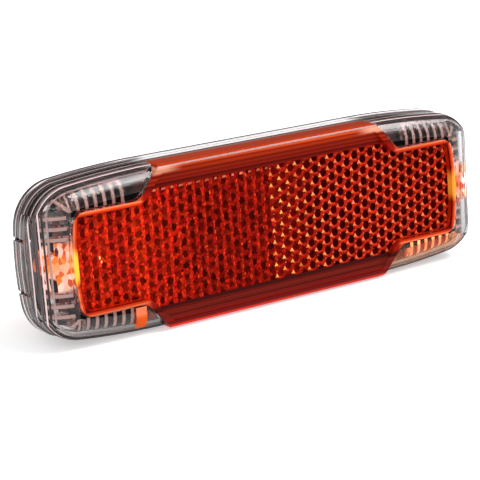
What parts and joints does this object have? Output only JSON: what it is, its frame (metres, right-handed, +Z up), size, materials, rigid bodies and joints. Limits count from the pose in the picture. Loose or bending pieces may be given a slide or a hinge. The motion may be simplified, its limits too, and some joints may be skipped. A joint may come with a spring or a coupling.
{
  "type": "bike rear light",
  "caption": "Flat rack-mounted bicycle rear light: clear push-on cover over a red reflector, black housing with cells, lamps and button.",
  "frame": {"origin": "midway between the two studs, on the rear mounting face", "axes": "+X along the light, to the right as seen from behind the bicycle; +Y along the studs, forward to the rack; +Z up"},
  "size_m": [0.125, 0.038, 0.0392],
  "materials": {
    "clear_lens": "clear polycarbonate, polished",
    "red_lens": "clear red acrylic with prisms moulded behind it",
    "back_plate": "fine grain",
    "clear_guide": "clear acrylic, polished",
    "housing_black": "spark-eroded grain",
    "seal_rubber": "moulded",
    "stud_steel": "zinc plated",
    "cell_jacket": "printed jacket over a metal can",
    "contact_metal": "nickel plated spring strip",
    "board_laminate": "black solder mask",
    "chip_black": "moulded",
    "capacitor_can": "satin",
    "coil_ferrite": "ferrite with enamelled wire",
    "led_lens": "clear epoxy",
    "screw_steel": "zinc plated",
    "switch_body": "moulded",
    "button_rubber": "matt silicone",
    "lead_insulation": "smooth"
  },
  "bodies": {
    "housing": {"rear_housing": "housing_black", "housing_seal": "seal_rubber", "mount_stud_left": "stud_steel", "mount_stud_right": "stud_steel", "battery_upper": "cell_jacket", "battery_lower": "cell_jacket", "contact_positive": "contact_metal", "contact_negative": "contact_metal", "contact_link": "contact_metal", "main_board": "board_laminate", "led_board": "board_laminate", "control_chip": "chip_black", "buffer_capacitor": "capacitor_can", "boost_coil": "coil_ferrite", "chip_resistors": "chip_black", "led_left": "led_lens", "led_right": "led_lens", "board_screws": "screw_steel", "tact_switch": "switch_body", "led_leads": "lead_insulation"},
    "cover": {"clear_cover": "clear_lens", "reflector_panel": "red_lens", "reflector_back_plate": "back_plate", "light_guide_right": "clear_guide", "light_guide_left": "clear_guide"},
    "button": {"power_button": "button_rubber", "switch_plunger": "switch_body"}
  },
  "joints": [
    {"name": "cover_pull", "type": "slide", "parent": "housing", "child": "cover", "axis": [0, -1, 0], "range_m": [0, 0.025]},
    {"name": "button_press", "type": "slide", "parent": "housing", "child": "button", "axis": [0, 0, 1], "range_m": [0, 0.0005], "stiffness_N_per_m": 1500, "springref_m": -0.0005}
  ]
}
